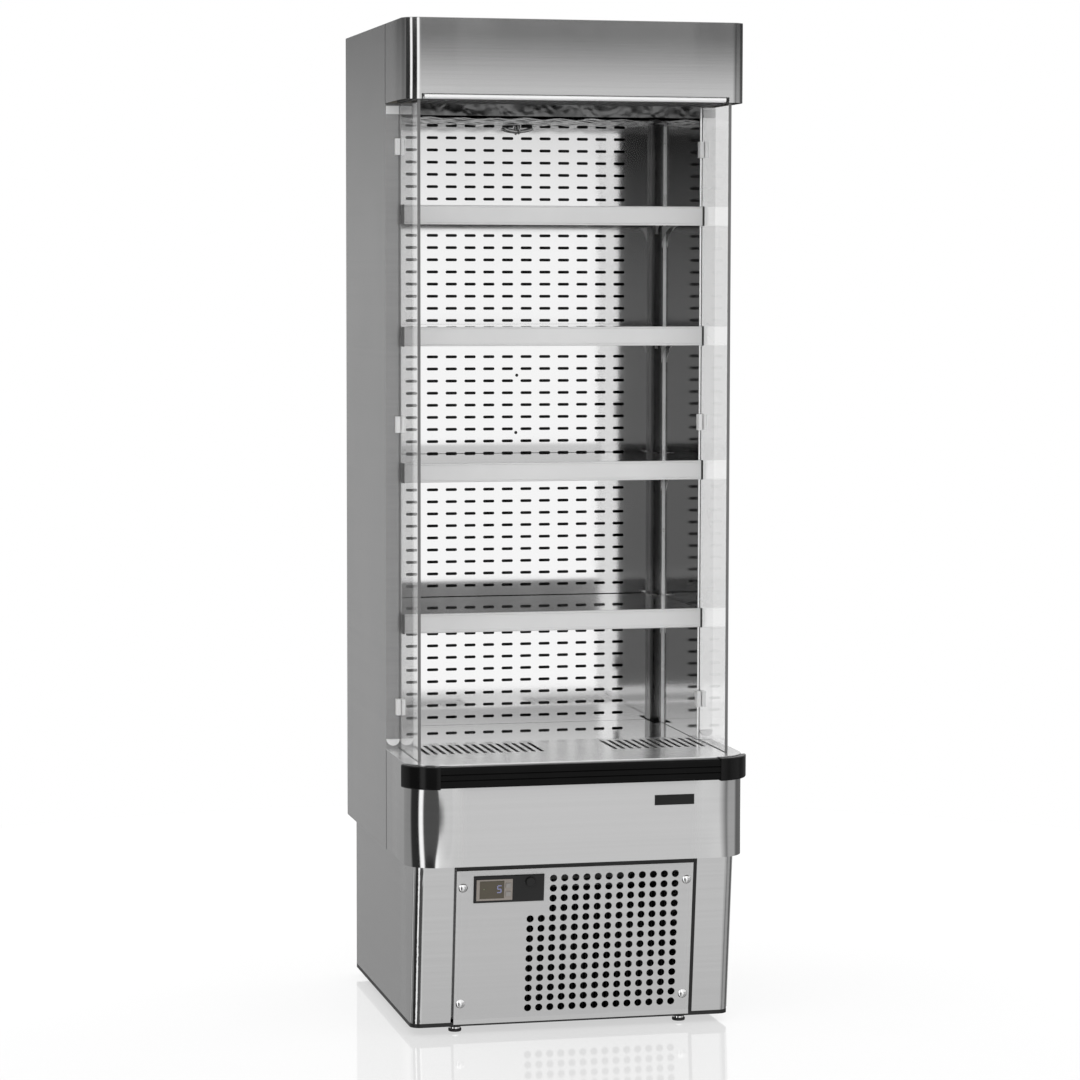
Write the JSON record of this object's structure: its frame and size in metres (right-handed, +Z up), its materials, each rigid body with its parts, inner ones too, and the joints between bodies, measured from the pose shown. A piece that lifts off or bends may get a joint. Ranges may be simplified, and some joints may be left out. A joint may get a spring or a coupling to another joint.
{
  "type": "open multideck display fridge",
  "caption": "Slim open-front multideck chiller with glass side panes, shelves with ticket rails, a night blind and a plug-in condensing unit in its base.",
  "frame": {"origin": "on the floor, in the middle of the footprint's bounding box", "axes": "+Z up, the open front faces -Y, +X to the right of someone who faces the front"},
  "size_m": [0.696, 0.7078, 1.98],
  "materials": {
    "brushed_steel": "fine vertical brushing",
    "bright_steel": "bright annealed, nearly a mirror",
    "galvanised_steel": "dull zinc",
    "foam": "rigid foam",
    "aluminium": "satin anodised",
    "blind_fabric": "woven, aluminised",
    "grey_plastic": "moulded",
    "dark_plastic": "moulded",
    "black_plastic": "moulded, fine grain",
    "rail_plastic": "silver grey extrusion",
    "glass": "clear, polished edges",
    "black_rubber": "semi-gloss black",
    "display_lens": "smoked lens",
    "dark_paint": "black powder coat",
    "copper": "drawn copper tube",
    "foot_rubber": "black rubber pad"
  },
  "bodies": {
    "root": {"side_skin_right": "brushed_steel", "side_skin_left": "brushed_steel", "rear_skin": "galvanised_steel", "roof_skin": "brushed_steel", "inner_liner": "bright_steel", "insulation": "foam", "header_cover": "brushed_steel", "blind_cassette": "aluminium", "discharge_honeycomb": "grey_plastic", "ceiling_panel": "bright_steel", "rear_air_panel": "bright_steel", "temperature_probe": "dark_plastic", "shelf_uprights": "bright_steel", "shelf_brackets": "bright_steel", "glass_right": "glass", "glass_left": "glass", "glass_clips": "grey_plastic", "front_ledge": "bright_steel", "bumper_rail": "black_rubber", "bumper_caps": "black_plastic", "lower_front_panel": "brushed_steel", "base_side_right": "brushed_steel", "base_side_left": "brushed_steel", "base_rear_panel": "galvanised_steel", "base_tray": "dark_paint", "grille_panel": "brushed_steel", "panel_screws": "bright_steel", "controller_bezel": "black_plastic", "thermostat_body": "grey_plastic", "thermostat_display": "display_lens", "compressor": "dark_paint", "condenser_coil": "aluminium", "condenser_fan_shroud": "dark_paint", "evaporator_coil": "aluminium", "evaporator_fan_plate": "galvanised_steel", "evaporator_fan_motor": "dark_paint", "drip_tray": "black_plastic", "pipework": "copper"},
    "night_blind_bar": {"blind_pull_bar": "aluminium", "blind_cloth": "blind_fabric"},
    "night_blind_roller": {"blind_roller": "aluminium"},
    "cold_air_fan": {"evaporator_fan": "black_plastic"},
    "condenser_air_fan": {"condenser_fan": "black_plastic"},
    "key_up": {"thermostat_key_up": "grey_plastic"},
    "key_down": {"thermostat_key_down": "grey_plastic"},
    "switch_button": {"power_button": "black_plastic"},
    "shelf_1": {"shelf_tray_1": "bright_steel", "price_rail_1": "rail_plastic"},
    "shelf_2": {"shelf_tray_2": "bright_steel", "price_rail_2": "rail_plastic"},
    "shelf_3": {"shelf_tray_3": "bright_steel", "price_rail_3": "rail_plastic"},
    "shelf_4": {"shelf_tray_4": "bright_steel", "price_rail_4": "rail_plastic"},
    "deck": {"deck_tray": "bright_steel"},
    "return_grille": {"air_return_grille": "bright_steel"},
    "foot_1": {"levelling_foot_1": "foot_rubber"},
    "foot_2": {"levelling_foot_2": "foot_rubber"},
    "foot_3": {"levelling_foot_3": "foot_rubber"},
    "foot_4": {"levelling_foot_4": "foot_rubber"}
  },
  "joints": [
    {"name": "night_blind_pull", "type": "slide", "parent": "root", "child": "night_blind_bar", "axis": [0, 0, -1], "range_m": [0, 1.28], "stiffness_N_per_m": 12, "springref_m": -0.6, "deforming": ["blind_cloth"]},
    {"name": "blind_roller_turn", "type": "hinge", "parent": "root", "child": "night_blind_roller", "pos_m": [0, -0.258, 1.89], "axis": [1, 0, 0], "continuous": true},
    {"name": "cold_air_fan_spin", "type": "hinge", "parent": "root", "child": "cold_air_fan", "pos_m": [0, -0.047, 0.45], "axis": [0, 1, 0], "continuous": true},
    {"name": "condenser_fan_spin", "type": "hinge", "parent": "root", "child": "condenser_air_fan", "pos_m": [0.05, -0.1567, 0.148], "axis": [0, 1, 0], "continuous": true},
    {"name": "key_up_press", "type": "slide", "parent": "root", "child": "key_up", "axis": [0, 0.9934, 0.1149], "range_m": [0, 0.0008], "stiffness_N_per_m": 900, "springref_m": -0.001},
    {"name": "key_down_press", "type": "slide", "parent": "root", "child": "key_down", "axis": [0, 0.9934, 0.1149], "range_m": [0, 0.0008], "stiffness_N_per_m": 900, "springref_m": -0.001},
    {"name": "switch_press", "type": "slide", "parent": "root", "child": "switch_button", "axis": [0, 0.9934, 0.1149], "range_m": [0, 0.0025], "stiffness_N_per_m": 800, "springref_m": -0.003},
    {"name": "shelf_1_lift", "type": "slide", "parent": "root", "child": "shelf_1", "axis": [0, 0, 1], "range_m": [0, 0.03]},
    {"name": "shelf_2_lift", "type": "slide", "parent": "root", "child": "shelf_2", "axis": [0, 0, 1], "range_m": [0, 0.03]},
    {"name": "shelf_3_lift", "type": "slide", "parent": "root", "child": "shelf_3", "axis": [0, 0, 1], "range_m": [0, 0.03]},
    {"name": "shelf_4_lift", "type": "slide", "parent": "root", "child": "shelf_4", "axis": [0, 0, 1], "range_m": [0, 0.03]},
    {"name": "deck_lift", "type": "slide", "parent": "root", "child": "deck", "axis": [0, 0, 1], "range_m": [0, 0.12]},
    {"name": "return_grille_lift", "type": "slide", "parent": "root", "child": "return_grille", "axis": [0, 0, 1], "range_m": [0, 0.06]},
    {"name": "foot_1_screw", "type": "slide", "parent": "root", "child": "foot_1", "axis": [0, 0, -1], "range_m": [0, 0.012]},
    {"name": "foot_2_screw", "type": "slide", "parent": "root", "child": "foot_2", "axis": [0, 0, -1], "range_m": [0, 0.012]},
    {"name": "foot_3_screw", "type": "slide", "parent": "root", "child": "foot_3", "axis": [0, 0, -1], "range_m": [0, 0.012]},
    {"name": "foot_4_screw", "type": "slide", "parent": "root", "child": "foot_4", "axis": [0, 0, -1], "range_m": [0, 0.012]}
  ],
  "couplings": [
    {"joint": "blind_roller_turn", "follows": "night_blind_pull", "rad_per_m": 47.619}
  ]
}
